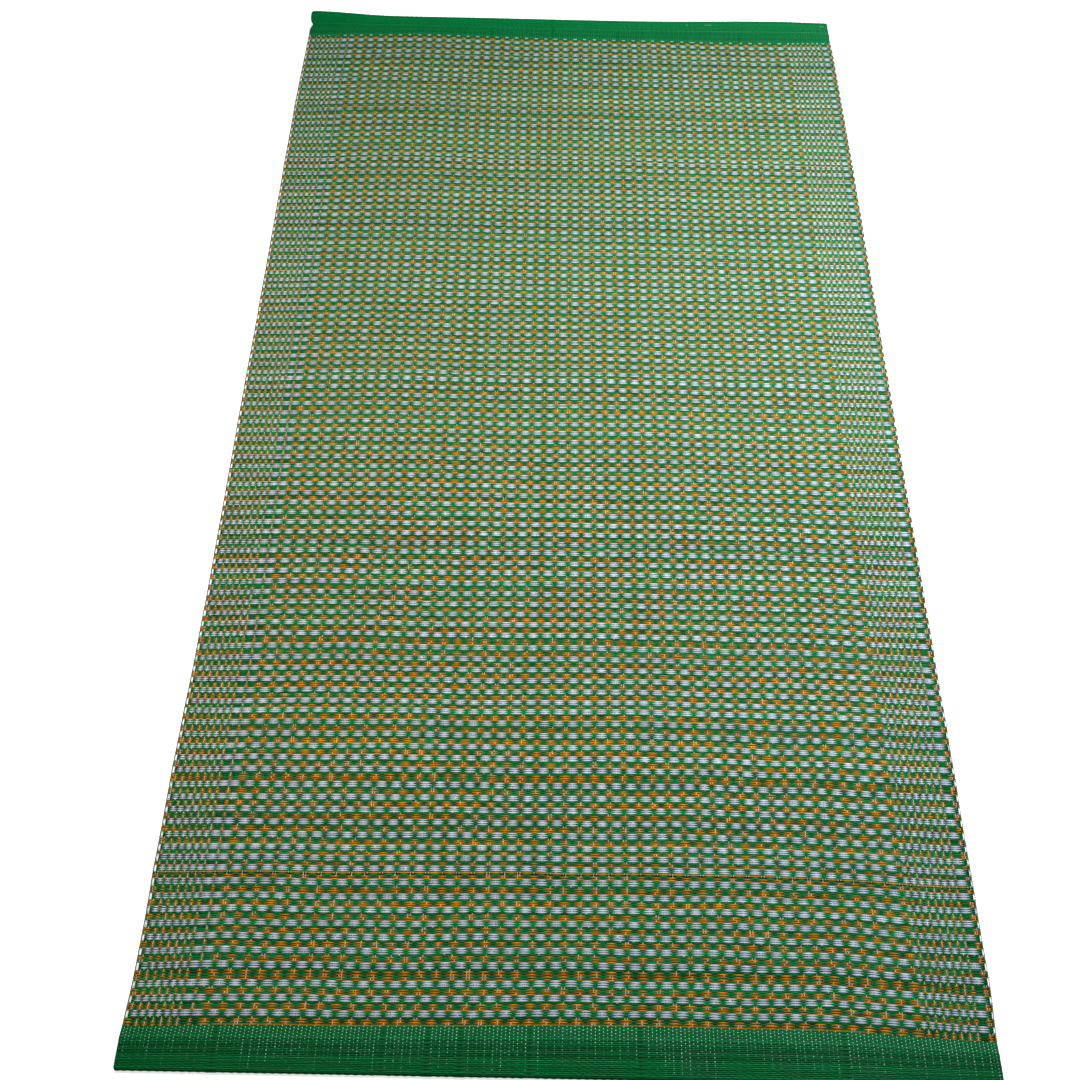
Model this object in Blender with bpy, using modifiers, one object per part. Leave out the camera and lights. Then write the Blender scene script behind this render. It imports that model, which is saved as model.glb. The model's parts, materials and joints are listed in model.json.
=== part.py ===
"""A plastic floor mat woven of straws, lying flat, with its two ends turned under as hems.

The mat is one cloth, so it is one closed solid. X runs across the mat, along its straws. Y runs along the
mat, towards its far end. Z is up, the floor is z = 0, and the origin is the middle of the mat's underside.
All sizes are in metres.
"""

import math
from typing import NamedTuple

import bmesh
import bpy

# The cloth
WIDTH = 0.914
LENGTH = 1.829
THICKNESS = 0.0022

# The hems: each end is turned under and stitched down, so it is two layers with air between them
HEM_DEPTH = 0.034
HEM_GAP = 0.0009
HEM_RAMP = 0.020
FOLD_STEPS = 4

# The patterned field, between plain green ends
FAR_PLAIN = 0.060
NEAR_PLAIN = 0.0506

# The far left corner curls up, and the cloth is drawn in beside it where the hem is stitched
CURL_RISE = 0.0065
CURL_ACROSS = 0.150
CURL_ALONG = 0.060
NECK_INSET = 0.0050
NECK_SPREAD = 0.008

# Round corners
FAR_LEFT_RADIUS = 0.009
FAR_RIGHT_RADIUS = 0.006
NEAR_RADIUS = 0.004

# How finely the surface is cut
COLUMNS = 8
ROW_STEP = 0.0158
CORNER_ROWS = 3


class Level(NamedTuple):
    """A size, such as an inset or a shift, and the place that it holds at."""

    at: float
    size: float


class Ripple(NamedTuple):
    """A low fold across the mat, along its straws."""

    middle: float
    rise: float
    strongest: float


# How far each side edge lies inside the full width, along the mat
LEFT_EDGE = (
    Level(at=-0.880, size=0.0000),
    Level(at=-0.790, size=0.0032),
    Level(at=-0.600, size=0.0026),
    Level(at=-0.350, size=0.0053),
    Level(at=0.100, size=0.0038),
    Level(at=0.670, size=0.0016),
    Level(at=0.870, size=0.0032),
)
RIGHT_EDGE = (
    Level(at=-0.880, size=0.0038),
    Level(at=-0.800, size=0.0012),
    Level(at=0.000, size=0.0006),
    Level(at=0.550, size=0.0000),
    Level(at=0.800, size=0.0013),
    Level(at=0.900, size=0.0040),
)

# How far each line of the cloth lies from its straight place, across the mat
FAR_END = (
    Level(at=-0.440, size=0.0000),
    Level(at=-0.230, size=-0.0030),
    Level(at=0.120, size=-0.0060),
    Level(at=0.370, size=-0.0005),
    Level(at=0.455, size=-0.0030),
)
FAR_ROW = (
    Level(at=-0.455, size=-0.0015),
    Level(at=-0.270, size=0.0065),
    Level(at=-0.040, size=0.0005),
    Level(at=0.300, size=-0.0035),
    Level(at=0.455, size=-0.0015),
)
NEAR_ROW = (
    Level(at=-0.455, size=-0.0050),
    Level(at=-0.350, size=-0.0025),
    Level(at=0.145, size=0.0040),
    Level(at=0.270, size=0.0030),
    Level(at=0.455, size=-0.0045),
)

# The low folds, from the far end to the near one
RIPPLES = (
    Ripple(middle=0.790, rise=0.0015, strongest=0.30),
    Ripple(middle=0.733, rise=0.0012, strongest=-0.10),
    Ripple(middle=0.660, rise=0.0024, strongest=-0.20),
    Ripple(middle=0.512, rise=0.0030, strongest=0.10),
    Ripple(middle=0.405, rise=0.0014, strongest=0.20),
    Ripple(middle=0.205, rise=0.0012, strongest=-0.25),
    Ripple(middle=0.057, rise=0.0024, strongest=0.15),
    Ripple(middle=-0.030, rise=0.0014, strongest=-0.05),
    Ripple(middle=-0.240, rise=0.0018, strongest=0.10),
    Ripple(middle=-0.374, rise=0.0018, strongest=-0.15),
    Ripple(middle=-0.490, rise=0.0028, strongest=0.20),
    Ripple(middle=-0.565, rise=0.0028, strongest=0.05),
    Ripple(middle=-0.695, rise=0.0034, strongest=-0.10),
    Ripple(middle=-0.797, rise=0.0026, strongest=-0.05),
)
RIPPLE_FAR_SIDE = 0.032
RIPPLE_NEAR_SIDE = 0.018
RIPPLE_ACROSS = 0.60

# The plastic straws, seen from far enough that their colours mix
STRAW_COLOUR = (0.10, 0.30, 0.12, 1.0)
STRAW_ROUGHNESS = 0.38
STRAW_METALLIC = 0.0


def smooth(share: float) -> float:
    """A soft step from 0 to 1 as share goes from 0 to 1."""
    share = min(1.0, max(0.0, share))
    return share * share * (3.0 - 2.0 * share)


def level(levels: tuple[Level, ...], at: float) -> float:
    """The size at a place between the given ones, on a smooth line through them."""
    if at <= levels[0].at:
        return levels[0].size
    for low, high in zip(levels, levels[1:]):
        if at <= high.at:
            share = (at - low.at) / (high.at - low.at)
            return low.size + (high.size - low.size) * smooth(share)
    return levels[-1].size


def corner_inset(from_end: float, radius: float) -> float:
    """How far a round corner draws the side edge in, at a distance from the mat's end."""
    if from_end >= radius:
        return 0.0
    return radius - math.sqrt(radius**2 - (radius - from_end) ** 2)


def side_edges(y: float) -> tuple[float, float]:
    """The left and right edges of the cloth at y."""
    from_far = LENGTH / 2 - y
    from_near = LENGTH / 2 + y
    left = level(LEFT_EDGE, y)
    left += NECK_INSET * math.exp(-(((from_far - HEM_DEPTH) / NECK_SPREAD) ** 2))
    left += corner_inset(from_far, FAR_LEFT_RADIUS) + corner_inset(from_near, NEAR_RADIUS)
    right = level(RIGHT_EDGE, y)
    right += corner_inset(from_far, FAR_RIGHT_RADIUS) + corner_inset(from_near, NEAR_RADIUS)
    return left - WIDTH / 2, WIDTH / 2 - right


def row_shift(x: float, y: float) -> float:
    """How far a straw that would lie straight at y lies from there at x."""
    near_row = NEAR_PLAIN - LENGTH / 2
    far_row = LENGTH / 2 - FAR_PLAIN
    if y <= near_row:
        share = (y + LENGTH / 2) / NEAR_PLAIN
        return level(NEAR_ROW, x) * share
    if y >= far_row:
        share = (y - far_row) / FAR_PLAIN
        return level(FAR_ROW, x) * (1.0 - share) + level(FAR_END, x) * share
    share = (y - near_row) / (far_row - near_row)
    return level(NEAR_ROW, x) * (1.0 - share) + level(FAR_ROW, x) * share


def lift(x: float, y: float) -> float:
    """How far the low folds and the curled corner raise the cloth."""
    height = 0.0
    for ripple in RIPPLES:
        side = RIPPLE_FAR_SIDE if y > ripple.middle else RIPPLE_NEAR_SIDE
        along = math.exp(-(((y - ripple.middle) / side) ** 2))
        across = math.exp(-(((x - ripple.strongest) / RIPPLE_ACROSS) ** 2))
        height += ripple.rise * along * across
    flat_end = HEM_DEPTH + HEM_RAMP
    height *= smooth((LENGTH / 2 - flat_end - abs(y)) / HEM_RAMP)
    across = 1.0 - smooth((x + WIDTH / 2) / CURL_ACROSS)
    along = 1.0 - smooth((LENGTH / 2 - y) / CURL_ALONG)
    return height + CURL_RISE * across * along


def hem_rows(raw_end: float, fold_middle: float) -> list[float]:
    """Where both layers of a hem are cut, as distances from the mat's middle, from its raw end to its fold."""
    corner = [fold_middle - NEAR_RADIUS * (CORNER_ROWS - step) / CORNER_ROWS for step in range(CORNER_ROWS)]
    return [raw_end, (raw_end + corner[0]) / 2] + corner


def section() -> list[tuple[float, float]]:
    """The middle of the cloth's thickness from one raw end to the other, as (y, z), with no low folds."""
    low = THICKNESS / 2
    turn = (THICKNESS + HEM_GAP) / 2
    raw_end = LENGTH / 2 - HEM_DEPTH
    fold_middle = LENGTH / 2 - THICKNESS / 2 - turn
    hem = hem_rows(raw_end, fold_middle)
    far_end = [(y, low + 2 * turn) for y in hem]
    for step in range(FOLD_STEPS + 1):
        angle = math.pi * step / FOLD_STEPS
        far_end.append((fold_middle + turn * math.sin(angle), low + turn + turn * math.cos(angle)))
    far_end += [(y, low) for y in reversed(hem)]
    top = []
    rows = round(2 * raw_end / ROW_STEP)
    for row in range(1, rows):
        y = raw_end * (2 * row / rows - 1)
        raised = smooth((abs(y) - raw_end + HEM_RAMP) / HEM_RAMP)
        top.append((y, low + 2 * turn * raised))
    return [(-y, z) for y, z in reversed(far_end)] + top + far_end


def place(share: float, y: float, z: float) -> tuple[float, float, float]:
    """A point of the cloth where it lies on the floor, from its share of the width and its place in the section."""
    left, right = side_edges(y)
    x = left + (right - left) * share
    return x, y + row_shift(x, y), z + lift(x, y)


def cloth_mesh() -> bpy.types.Mesh:
    """The cloth with no thickness, from the raw end of one hem to the raw end of the other."""
    rows = section()
    shape = bmesh.new()
    bmesh.ops.create_grid(shape, x_segments=COLUMNS, y_segments=len(rows) - 1, size=0.5)
    for point in shape.verts:
        row = round((point.co.y + 0.5) * (len(rows) - 1))
        point.co = place(point.co.x + 0.5, *rows[row])
    mesh = bpy.data.meshes.new("mat")
    shape.to_mesh(mesh)
    shape.free()
    return mesh


def straw_plastic() -> bpy.types.Material:
    """The half-gloss plastic of the straws."""
    material = bpy.data.materials.new("straw plastic")
    material.use_nodes = True
    surface = material.node_tree.nodes["Principled BSDF"]
    surface.inputs["Base Color"].default_value = STRAW_COLOUR
    surface.inputs["Roughness"].default_value = STRAW_ROUGHNESS
    surface.inputs["Metallic"].default_value = STRAW_METALLIC
    return material


def add_mat(collection: bpy.types.Collection) -> bpy.types.Object:
    """The mat: the cloth given its thickness, half to each side of its middle."""
    mat = bpy.data.objects.new("mat", cloth_mesh())
    mat.data.materials.append(straw_plastic())
    mat.data.shade_smooth()
    collection.objects.link(mat)
    wall = mat.modifiers.new("thickness", "SOLIDIFY")
    wall.thickness = THICKNESS
    wall.offset = 0.0
    wall.use_even_offset = True
    return mat


def main() -> None:
    """Empties the scene and builds the mat in a collection of its own."""
    for thing in list(bpy.data.objects):
        bpy.data.objects.remove(thing, do_unlink=True)
    collection = bpy.data.collections.new("plastic floor mat")
    bpy.context.scene.collection.children.link(collection)
    add_mat(collection)


main()
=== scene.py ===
"""The looks of a plastic floor mat, woven of green, white and orange plastic straws on thin warp threads.

The mat lies flat on a pale floor. Every straw that shows on the face is real relief: a low roof of plastic
between two warp crossings. The straws are first set out in loom coordinates, which are the distance across
the loom, the distance along the cloth from one raw end to the other, and the height off the middle of its
thickness. MatLie then lays all of them down with the same folds, hems and edges as the solid has.
"""

import json
import logging
import math
from dataclasses import dataclass, field
from enum import Enum
from typing import NamedTuple

import bmesh
import bpy
import numpy as np
from mathutils import Matrix

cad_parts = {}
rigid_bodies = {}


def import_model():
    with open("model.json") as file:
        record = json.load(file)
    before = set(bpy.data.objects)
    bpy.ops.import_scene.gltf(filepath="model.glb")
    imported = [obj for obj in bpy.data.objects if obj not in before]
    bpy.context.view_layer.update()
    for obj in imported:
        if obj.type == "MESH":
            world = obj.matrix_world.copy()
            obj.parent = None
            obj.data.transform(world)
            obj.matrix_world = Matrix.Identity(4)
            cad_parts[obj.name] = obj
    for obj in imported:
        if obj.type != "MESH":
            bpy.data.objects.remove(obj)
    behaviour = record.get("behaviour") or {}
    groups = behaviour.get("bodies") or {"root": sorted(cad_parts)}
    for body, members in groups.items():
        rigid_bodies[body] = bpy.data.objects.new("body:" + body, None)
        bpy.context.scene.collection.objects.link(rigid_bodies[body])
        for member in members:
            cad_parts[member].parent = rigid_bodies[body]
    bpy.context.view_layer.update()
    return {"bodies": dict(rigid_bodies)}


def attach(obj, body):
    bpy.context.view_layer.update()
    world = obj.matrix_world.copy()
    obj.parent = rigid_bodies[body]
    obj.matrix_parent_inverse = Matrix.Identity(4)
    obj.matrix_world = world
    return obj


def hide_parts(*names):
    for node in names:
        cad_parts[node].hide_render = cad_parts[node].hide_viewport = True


LOG = logging.getLogger("floor_mat")
Pair = tuple[float, float]
Triple = tuple[float, float, float]


def smooth(share: np.ndarray) -> np.ndarray:
    """A soft step from 0 to 1 as share goes from 0 to 1."""
    share = np.clip(share, 0.0, 1.0)
    return share * share * (3.0 - 2.0 * share)


def triples(first: np.ndarray, second: np.ndarray, third: np.ndarray) -> np.ndarray:
    """Joins numbers and arrays, repeated as far as the largest of them goes, to rows of three."""
    return np.stack(np.broadcast_arrays(first, second, third), -1).reshape(-1, 3)


class Levels(NamedTuple):
    """Sizes, such as insets or shifts, and the places that they hold at, in rising order."""

    at: tuple[float, ...]
    size: tuple[float, ...]

    def read(self, at: np.ndarray) -> np.ndarray:
        """Reads sizes between the known ones, on a smooth line through them.

        Args:
            at: The places to read.

        Returns:
            The size at each place, held level outside the first and last one.
        """
        places, sizes = np.array(self.at), np.array(self.size)
        at = np.clip(at, places[0], places[-1])
        low = np.clip(np.searchsorted(places, at, side="right") - 1, 0, len(places) - 2)
        share = smooth((at - places[low]) / (places[low + 1] - places[low]))
        return sizes[low] + (sizes[low + 1] - sizes[low]) * share


class Ripple(NamedTuple):
    """A low fold across the mat: its place along it, its rise, and where across the mat it is strongest."""

    middle: float
    rise: float
    strongest: float


@dataclass
class MatLie:
    """How the cloth lies: its outline, hems, low folds and curled corner, as the solid has them."""

    width: float = 0.914
    length: float = 1.829
    thickness: float = 0.0022
    hem_depth: float = 0.034
    hem_gap: float = 0.0009
    hem_ramp: float = 0.020
    far_plain: float = 0.060
    near_plain: float = 0.0506
    # The far left corner curls up, and the cloth is drawn in beside it where the hem is stitched
    curl_rise: float = 0.0065
    curl_across: float = 0.150
    curl_along: float = 0.060
    neck_inset: float = 0.0050
    neck_spread: float = 0.008
    far_left_radius: float = 0.009
    far_right_radius: float = 0.006
    near_radius: float = 0.004
    ripple_far_side: float = 0.032
    ripple_near_side: float = 0.018
    ripple_across: float = 0.60
    # The line of stitches, which presses the upper layer down
    stitch_from_raw_end: float = 0.004
    stitch_press: float = 0.0006
    stitch_spread: float = 0.0022
    # The slow waves of the straws: each one's height, its turn across and along for each metre, and its start
    waves: tuple[tuple[float, float, float, float], ...] = (
        (0.00045, 21.0, 13.0, 0.0),
        (0.000315, 47.0, -31.0, 1.3),
    )
    tilt_reach: float = 0.0004
    # How far each side edge lies inside the full width, along the mat
    left_edge: Levels = Levels(
        at=(-0.880, -0.790, -0.600, -0.350, 0.100, 0.670, 0.870),
        size=(0.0000, 0.0032, 0.0026, 0.0053, 0.0038, 0.0016, 0.0032),
    )
    right_edge: Levels = Levels(
        at=(-0.880, -0.800, 0.000, 0.550, 0.800, 0.900),
        size=(0.0038, 0.0012, 0.0006, 0.0000, 0.0013, 0.0040),
    )
    # How far each line of the cloth lies from its straight place, across the mat
    far_end: Levels = Levels(
        at=(-0.440, -0.230, 0.120, 0.370, 0.455),
        size=(0.0000, -0.0030, -0.0060, -0.0005, -0.0030),
    )
    far_row: Levels = Levels(
        at=(-0.455, -0.270, -0.040, 0.300, 0.455),
        size=(-0.0015, 0.0065, 0.0005, -0.0035, -0.0015),
    )
    near_row: Levels = Levels(
        at=(-0.455, -0.350, 0.145, 0.270, 0.455),
        size=(-0.0050, -0.0025, 0.0040, 0.0030, -0.0045),
    )
    ripples: tuple[Ripple, ...] = (
        Ripple(0.790, 0.0015, 0.30),
        Ripple(0.733, 0.0012, -0.10),
        Ripple(0.660, 0.0024, -0.20),
        Ripple(0.512, 0.0030, 0.10),
        Ripple(0.405, 0.0014, 0.20),
        Ripple(0.205, 0.0012, -0.25),
        Ripple(0.057, 0.0024, 0.15),
        Ripple(-0.030, 0.0014, -0.05),
        Ripple(-0.240, 0.0018, 0.10),
        Ripple(-0.374, 0.0018, -0.15),
        Ripple(-0.490, 0.0028, 0.20),
        Ripple(-0.565, 0.0028, 0.05),
        Ripple(-0.695, 0.0034, -0.10),
        Ripple(-0.797, 0.0026, -0.05),
    )
    fold_steps: int = 12
    path_step: float = 0.001
    # The middle of the cloth's section as y and z, and the distance along the cloth at each of its points
    path: np.ndarray = field(init=False)
    along: np.ndarray = field(init=False)

    def __post_init__(self) -> None:
        """Works out the middle line of the cloth's section, from the near raw end to the far one."""
        low = self.thickness / 2
        turn = (self.thickness + self.hem_gap) / 2
        raw_end = self.length / 2 - self.hem_depth
        fold_middle = self.length / 2 - self.thickness / 2 - turn
        angles = np.linspace(0.0, math.pi, self.fold_steps + 1)
        far_fold = np.stack([fold_middle + turn * np.sin(angles), low + turn + turn * np.cos(angles)], 1)
        under = np.array([[raw_end, low]])
        far_half = np.concatenate([far_fold, under])
        near_half = far_half[::-1] * (-1.0, 1.0)
        y = np.arange(-fold_middle + self.path_step, fold_middle, self.path_step)
        raised = smooth((np.abs(y) - raw_end + self.hem_ramp) / self.hem_ramp)
        stitch = raw_end + self.stitch_from_raw_end
        press = self.stitch_press * np.exp(-(((np.abs(y) - stitch) / self.stitch_spread) ** 2))
        top = np.stack([y, low + 2 * turn * raised - press], 1)
        self.path = np.concatenate([near_half, top, far_half])
        steps = np.linalg.norm(np.diff(self.path, axis=0), axis=1)
        self.along = np.concatenate([[0.0], np.cumsum(steps)])

    @property
    def whole(self) -> float:
        """The length of the cloth from one raw end to the other, with both hems opened out."""
        return float(self.along[-1])

    def top_at(self, y: float) -> float:
        """The distance along the cloth at which its upper layer passes y."""
        first, last = self.fold_steps + 1, len(self.path) - self.fold_steps - 2
        return float(np.interp(y, self.path[first:last, 0], self.along[first:last]))

    def side_edges(self, y: np.ndarray) -> tuple[np.ndarray, np.ndarray]:
        """The left and right edges of the cloth at y.

        Args:
            y: Places along the mat.

        Returns:
            The x of the left edge and of the right edge at each place.
        """
        from_far, from_near = self.length / 2 - y, self.length / 2 + y
        near = self.corner_inset(from_near, self.near_radius)
        neck = np.exp(-(((from_far - self.hem_depth) / self.neck_spread) ** 2))
        left = self.left_edge.read(y) + self.neck_inset * neck + near
        left += self.corner_inset(from_far, self.far_left_radius)
        right = self.right_edge.read(y) + near
        right += self.corner_inset(from_far, self.far_right_radius)
        return left - self.width / 2, self.width / 2 - right

    @staticmethod
    def corner_inset(from_end: np.ndarray, radius: float) -> np.ndarray:
        """How far a round corner draws the side edge in, at a distance from the end and for its radius."""
        inside = np.clip(radius - np.maximum(from_end, 0.0), 0.0, radius)
        return radius - np.sqrt(radius**2 - inside**2)

    def row_shift(self, x: np.ndarray, y: np.ndarray) -> np.ndarray:
        """How far a straw that would lie straight at y lies from there at x.

        Args:
            x: Places across the mat.
            y: Places along the mat.

        Returns:
            The shift along the mat at each place.
        """
        near_row, far_row = self.near_plain - self.length / 2, self.length / 2 - self.far_plain
        share = np.clip((y - near_row) / (far_row - near_row), 0.0, 1.0)
        near_share = np.clip((y + self.length / 2) / self.near_plain, 0.0, 1.0)
        far_share = np.clip((y - far_row) / self.far_plain, 0.0, 1.0)
        field_shift = self.near_row.read(x) * (1.0 - share) * near_share
        field_shift += self.far_row.read(x) * share * (1.0 - far_share)
        wander = np.zeros_like(x)
        for size, across, along, start in self.waves:
            wander += size * np.sin(x * across + y * along + start)
        inside = smooth((self.length / 2 - np.abs(y) - self.hem_depth) / self.hem_depth)
        return field_shift + self.far_end.read(x) * far_share + wander * inside

    def lift(self, x: np.ndarray, y: np.ndarray) -> np.ndarray:
        """How far the low folds and the curled corner raise the cloth.

        Args:
            x: Places across the mat.
            y: Places along the mat.

        Returns:
            The height added at each place.
        """
        height = np.zeros_like(x)
        for ripple in self.ripples:
            side = np.where(y > ripple.middle, self.ripple_far_side, self.ripple_near_side)
            along = np.exp(-(((y - ripple.middle) / side) ** 2))
            across = np.exp(-(((x - ripple.strongest) / self.ripple_across) ** 2))
            height += ripple.rise * along * across
        flat_end = self.hem_depth + self.hem_ramp
        height *= smooth((self.length / 2 - flat_end - np.abs(y)) / self.hem_ramp)
        across = 1.0 - smooth((x + self.width / 2) / self.curl_across)
        along = 1.0 - smooth((self.length / 2 - y) / self.curl_along)
        return height + self.curl_rise * across * along

    def lay(self, points: np.ndarray) -> np.ndarray:
        """Lays points of the loom down as the mat lies.

        Args:
            points: An array whose last axis is the share of the loom's width, the distance along the cloth
                and the height off the middle of its thickness, towards its outer side.

        Returns:
            The same points in the mat's own frame.
        """
        share, along, out = points[..., 0], points[..., 1], points[..., 2]
        y, z = (np.interp(along, self.along, line) for line in self.path.T)
        before = [np.interp(along - self.tilt_reach, self.along, line) for line in self.path.T]
        after = [np.interp(along + self.tilt_reach, self.along, line) for line in self.path.T]
        dy, dz = after[0] - before[0], after[1] - before[1]
        size = np.maximum(np.hypot(dy, dz), 1e-9)
        left, right = self.side_edges(y)
        x = left + (right - left) * share
        shift, height = self.row_shift(x, y), self.lift(x, y)
        return np.stack([x, y - out * dz / size + shift, z + out * dy / size + height], -1)


class Face(Enum):
    """Which colour of straw a column of the weave brings to the face in its row of coloured blocks."""

    WHITE = "W"
    ORANGE = "O"


class Straw(Enum):
    """The kinds of straw in a white row of blocks and the orange row after it."""

    WHITE = "white"
    GREEN_BY_WHITES = "green, beside a white one"
    GREEN_BY_ORANGES = "green, beside an orange one"
    ORANGE = "orange"
    STRAY = "orange, on the face of the wrong blocks"


class End(Enum):
    """The two plain ends of the mat."""

    NEAR = "near"
    FAR = "far"


class Thread(NamedTuple):
    """A warp thread: the number of its column, and where it runs in the hems and in the patterned field."""

    column: int
    in_hem: float
    in_field: float
    missing: bool


class Column(NamedTuple):
    """A column of blocks, between two places across the loom, and what its threads are like."""

    face: Face
    start: float
    end: float
    narrow: bool
    thinned: bool

    @property
    def middle(self) -> float:
        """The middle of the column across the loom."""
        return (self.start + self.end) / 2


class Row(NamedTuple):
    """A white row and the orange row after it: the places of its straws and its length, in half straws."""

    straws: dict[Straw, tuple[int, ...]]
    slots: int


class Line(NamedTuple):
    """A straw of the field: its distance along the cloth, and its place among its row's own of one kind."""

    along: float
    place: int
    last: bool


class Plain(NamedTuple):
    """A plain end: its straws' places, which threads each one sinks under, and which threads are missing."""

    end: End
    lines: np.ndarray
    sinks: np.ndarray
    missing: np.ndarray


class Cut(NamedTuple):
    """How high and wide a kind of straw is on wide and narrow columns, and how far past them its tips reach.

    The first straw of a row may reach less far and the last one further.
    """

    high: float
    half_width: float
    tip: float
    narrow_half_width: float
    narrow_tip: float
    shoulder: float = 0.24
    first_shorter: float = 0.0
    last_longer: float = 0.0


@dataclass
class Loom:
    """The set-up of the loom: the threads and the order of the straws, read off the mat."""

    lie: MatLie
    warp_pitch: float = 0.004217
    left_selvedge: float = 0.0021
    right_selvedge: float = 0.0025
    # The space between the two threads of a column in the field, where the straws draw them together
    drawn_together: float = 0.0028
    # The columns from the left: the colour on the face, and the width in warp threads
    chart: str = "O1.5 " + "W1 O1 " * 6 + "W2 O1 " + "W2 O2 " * 45 + "W1 O1 " * 7 + "W2 O1.5"
    # The threads that are missing, by their column and their place in it
    missing: tuple[tuple[int, int], ...] = ((44, 0), (56, 1), (70, 0), (95, 0))
    pairs: int = 109
    white_slots: int = 6
    first_slot: int = 4
    # The rows with four or two orange straws instead of three, and the one with a stray, from the near end
    rows_of_four: tuple[int, ...] = (3, 18, 30, 54, 85, 90, 91, 95, 100, 103)
    rows_of_two: tuple[int, ...] = (11, 12, 24, 39, 58, 70, 88, 101, 105)
    stray_row: int = 10
    # How much the pitch varies from row to row, the most that it may, and how much each gap varies
    uneven: float = 0.018
    most_uneven: float = 0.12
    uneven_gap: float = 0.02
    drift: Levels = Levels(
        at=(0.00, 0.05, 0.12, 0.23, 0.40, 0.58, 0.71, 0.85, 0.93, 1.00),
        size=(0.0000, 0.0044, 0.0022, 0.0006, 0.0028, 0.0000, 0.0026, -0.0010, -0.0025, -0.0012),
    )
    # How far apart the half straws are in the white rows, after them and in the orange rows
    beaten_near: Triple = (0.94, 1.04, 1.03)
    beaten_far: Triple = (1.02, 1.24, 0.80)
    seed: int = 11
    columns: list[Column] = field(init=False)
    threads: list[Thread] = field(init=False)
    rows: list[Row] = field(init=False)
    slot_at: np.ndarray = field(init=False)

    def __post_init__(self) -> None:
        """Reads the chart and spaces the straws over the patterned field."""
        self.columns, self.threads = [], []
        start = self.left_selvedge
        for number, entry in enumerate(self.chart.split()):
            warps = float(entry[1:])
            end = start + warps * self.warp_pitch
            thinned = any(column == number for column, _ in self.missing)
            self.columns.append(Column(Face(entry[0]), start, end, warps < 2, thinned))
            self.thread_column(number, 1 if warps == 1 else 2)
            start = end
        self.rows = [self.row(self.pairs - 1 - pair) for pair in range(self.pairs)]
        self.space_slots()

    def thread_column(self, number: int, count: int) -> None:
        """Threads one column.

        Args:
            number: The column's number, from the left.
            count: How many warp threads it has.
        """
        column = self.columns[number]
        drawn = 0.0 if column.thinned else self.drawn_together
        for place in range(count):
            offset = place - (count - 1) / 2
            in_hem = column.middle + offset * (column.end - column.start) / count
            in_field = column.middle + offset * drawn
            self.threads.append(Thread(number, in_hem, in_field, (number, place) in self.missing))

    @property
    def span(self) -> float:
        """The width of the loom, with both selvedges."""
        return self.columns[-1].end + self.right_selvedge

    @property
    def far_end(self) -> float:
        """Where the patterned field starts, as a distance along the cloth."""
        return float(self.slot_at[self.first_slot])

    @property
    def near_end(self) -> float:
        """Where the patterned field ends, as a distance along the cloth."""
        return float(self.slot_at[-1])

    @property
    def hem_threads(self) -> np.ndarray:
        """Where the warp threads run across the loom in the hems."""
        return np.array([thread.in_hem for thread in self.threads])

    def row(self, from_near: int) -> Row:
        """The straws of one white and orange row.

        Args:
            from_near: How many rows lie between it and the near end.

        Returns:
            Its straws, each with the half straws between it and the row's start.
        """
        stray = from_near == self.stray_row
        oranges = 3 + (from_near in self.rows_of_four) - (from_near in self.rows_of_two)
        evens = tuple(self.white_slots + 2 * place for place in range(1 if stray else 0, oranges))
        straws = {
            Straw.WHITE: (0, 2, 4),
            Straw.GREEN_BY_WHITES: (1, 3, 5),
            Straw.GREEN_BY_ORANGES: evens,
            Straw.ORANGE: tuple(slot + 1 for slot in evens),
            Straw.STRAY: (self.white_slots,) if stray else (),
        }
        return Row(straws, self.white_slots + 2 * oranges)

    def space_slots(self) -> None:
        """Spaces the half straws from the field's far end to its near end, as they were beaten in."""
        draw = np.random.default_rng(self.seed)
        gaps = []
        ends = np.array([self.beaten_far, self.beaten_near])
        for number, row in enumerate(self.rows):
            pitch = 1.0 + np.clip(draw.normal(0.0, self.uneven), -self.most_uneven, self.most_uneven)
            whites, between, oranges = ends[0] + (ends[1] - ends[0]) * number / (self.pairs - 1)
            beaten = [whites] * 4 + [between] * 3 + [oranges] * (row.slots - 8) + [1.0]
            gaps += [pitch * gap * (1.0 + draw.normal(0.0, self.uneven_gap)) for gap in beaten]
        far = self.lie.top_at(self.lie.length / 2 - self.lie.far_plain)
        near = self.lie.top_at(self.lie.near_plain - self.lie.length / 2)
        at = np.concatenate([[0.0], np.cumsum(gaps)])
        share = (at - at[self.first_slot]) / (at[-1] - at[self.first_slot])
        self.slot_at = far + (near - far) * share - self.drift.read(share)

    def lines(self, kind: Straw) -> list[Line]:
        """Where one kind of straw lies.

        Args:
            kind: The kind of straw.

        Returns:
            A line for each straw, from the far end to the near one.
        """
        found, start = [], 0
        for row in self.rows:
            slots = [start + slot for slot in row.straws[kind]]
            kept = [(place, slot) for place, slot in enumerate(slots) if slot >= self.first_slot]
            found += [Line(float(self.slot_at[slot]), place, slot == slots[-1]) for place, slot in kept]
            start += row.slots
        return found

    def places(self, kind: Straw) -> list[float]:
        """The distances along the cloth at which one kind of straw lies."""
        return [line.along for line in self.lines(kind)]

    def blocks(self, face: Face) -> list[Pair]:
        """Where the rows of white or of orange blocks lie.

        Args:
            face: Which of them.

        Returns:
            The far and the near edge of each row.
        """
        found, start = [], 0
        for row in self.rows:
            cuts = (0, self.white_slots) if face is Face.WHITE else (self.white_slots, row.slots)
            found.append(tuple(float(self.slot_at[max(start + cut, self.first_slot)]) for cut in cuts))
            start += row.slots
        return found


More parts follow.
